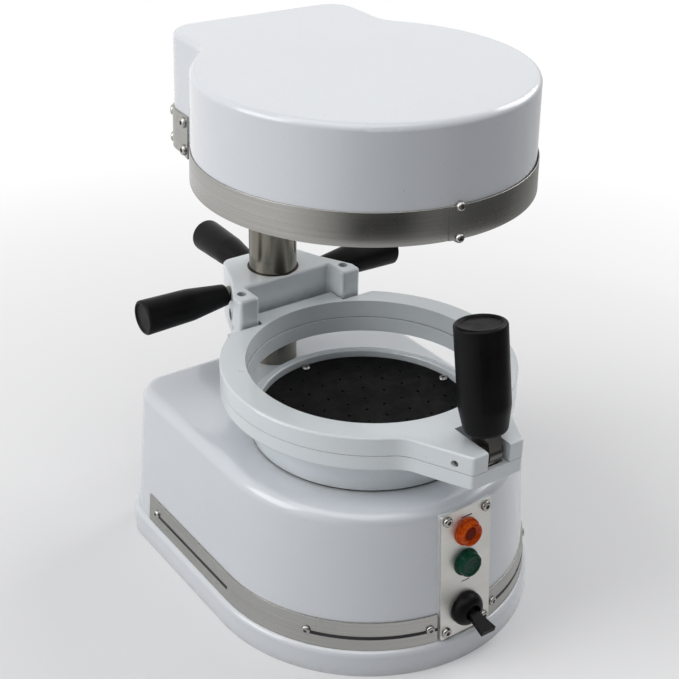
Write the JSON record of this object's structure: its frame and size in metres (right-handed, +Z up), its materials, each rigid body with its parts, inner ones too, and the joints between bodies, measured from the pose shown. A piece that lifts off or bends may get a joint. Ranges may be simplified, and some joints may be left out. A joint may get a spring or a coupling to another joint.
{
  "type": "dental vacuum former",
  "caption": "Dental vacuum former: a base with vacuum platform and switch panel, a sheet clamp on a sliding carriage, and a heater head that swings on one column.",
  "frame": {"origin": "on the bench, at the middle of the flat underside, under the axis of the clamp rings", "axes": "+Z up, -Y towards the control panel and the person using it, +Y towards the column, +X to that person's right"},
  "size_m": [0.1714, 0.2577, 0.271],
  "materials": {
    "enamel": "glossy white enamel",
    "stainless": "brushed stainless steel",
    "column_steel": "ground steel, satin",
    "bright_steel": "plated fastener",
    "black_grip": "moulded black plastic",
    "black_disc": "matt black",
    "rubber": "soft",
    "amber": "clear amber lens",
    "green": "clear green lens",
    "black_plastic": "moulded black plastic",
    "bronze": "sintered bronze",
    "zinc": "plain sheet",
    "ceramic": "ceramic",
    "heater": "heat-tinted tube"
  },
  "bodies": {
    "base": {"base_housing": "enamel", "base_plate": "zinc", "base_plate_screws": "bright_steel", "vacuum_platform": "enamel", "vacuum_disc": "black_disc", "disc_screws": "bright_steel", "gaskets": "rubber", "platform_screws": "bright_steel", "fan_case": "zinc", "vacuum_motor": "zinc", "motor_cushion": "rubber", "control_panel": "stainless", "panel_screws": "bright_steel", "amber_lens": "amber", "green_lens": "green", "lamp_bodies": "black_plastic", "switch_body": "black_plastic", "switch_collar": "black_plastic", "trim_strip_left": "stainless", "trim_strip_right": "stainless", "trim_screws": "bright_steel", "power_inlet": "black_plastic", "inlet_contacts": "bright_steel", "inlet_screws": "bright_steel", "column": "column_steel", "stop_collar": "column_steel", "column_washers": "bronze", "column_bolts": "bright_steel"},
    "fan_rotor": {"motor_shaft": "column_steel", "impeller": "zinc"},
    "switch": {"switch_lever": "black_plastic"},
    "carriage": {"carriage": "enamel", "carriage_bushes": "bronze", "lower_ring": "enamel", "lower_ring_screws": "bright_steel", "hinge_pin": "column_steel", "set_screws": "column_steel", "left_grip": "black_grip", "right_grip": "black_grip", "grip_studs": "column_steel", "keeper_pin": "column_steel"},
    "upper_ring": {"upper_ring": "enamel", "latch_pin": "column_steel", "latch_spacers": "column_steel"},
    "latch": {"latch_lever": "column_steel", "latch_grip": "black_grip"},
    "lock": {"lock_screw": "column_steel", "lock_grip": "black_grip"},
    "head": {"head_shell": "enamel", "head_band": "stainless", "band_screws": "bright_steel", "neck_plates": "stainless", "neck_screws": "bright_steel", "head_chassis": "zinc", "head_hub": "zinc", "hub_screws": "bright_steel", "head_floor": "zinc", "heater_pan": "zinc", "heater_element": "heater", "heater_bars": "ceramic"}
  },
  "joints": [
    {"name": "carriage_slide", "type": "slide", "parent": "base", "child": "carriage", "axis": [0, 0, 1], "range_m": [-0.02, 0.032]},
    {"name": "upper_ring_hinge", "type": "hinge", "parent": "carriage", "child": "upper_ring", "pos_m": [0, 0.0668, 0.12147], "axis": [-1, 0, 0], "range_deg": [0, 14]},
    {"name": "latch_handle", "type": "hinge", "parent": "upper_ring", "child": "latch", "pos_m": [0, -0.0883, 0.1205], "axis": [1, 0, 0], "range_deg": [0, 70]},
    {"name": "lock_screw", "type": "hinge", "parent": "carriage", "child": "lock", "pos_m": [0, 0.107, 0.1315], "axis": [0, 1, 0], "range_deg": [0, 180]},
    {"name": "switch_lever", "type": "hinge", "parent": "base", "child": "switch", "pos_m": [0, -0.08444, 0.02824], "axis": [-1, 0, 0], "range_deg": [0, 30]},
    {"name": "head_swing", "type": "hinge", "parent": "base", "child": "head", "pos_m": [0, 0.0865, 0.245], "axis": [0, 0, 1], "range_deg": [-120, 120]},
    {"name": "fan_spin", "type": "hinge", "parent": "base", "child": "fan_rotor", "pos_m": [0, 0, 0.06], "axis": [0, 0, 1], "continuous": true}
  ]
}
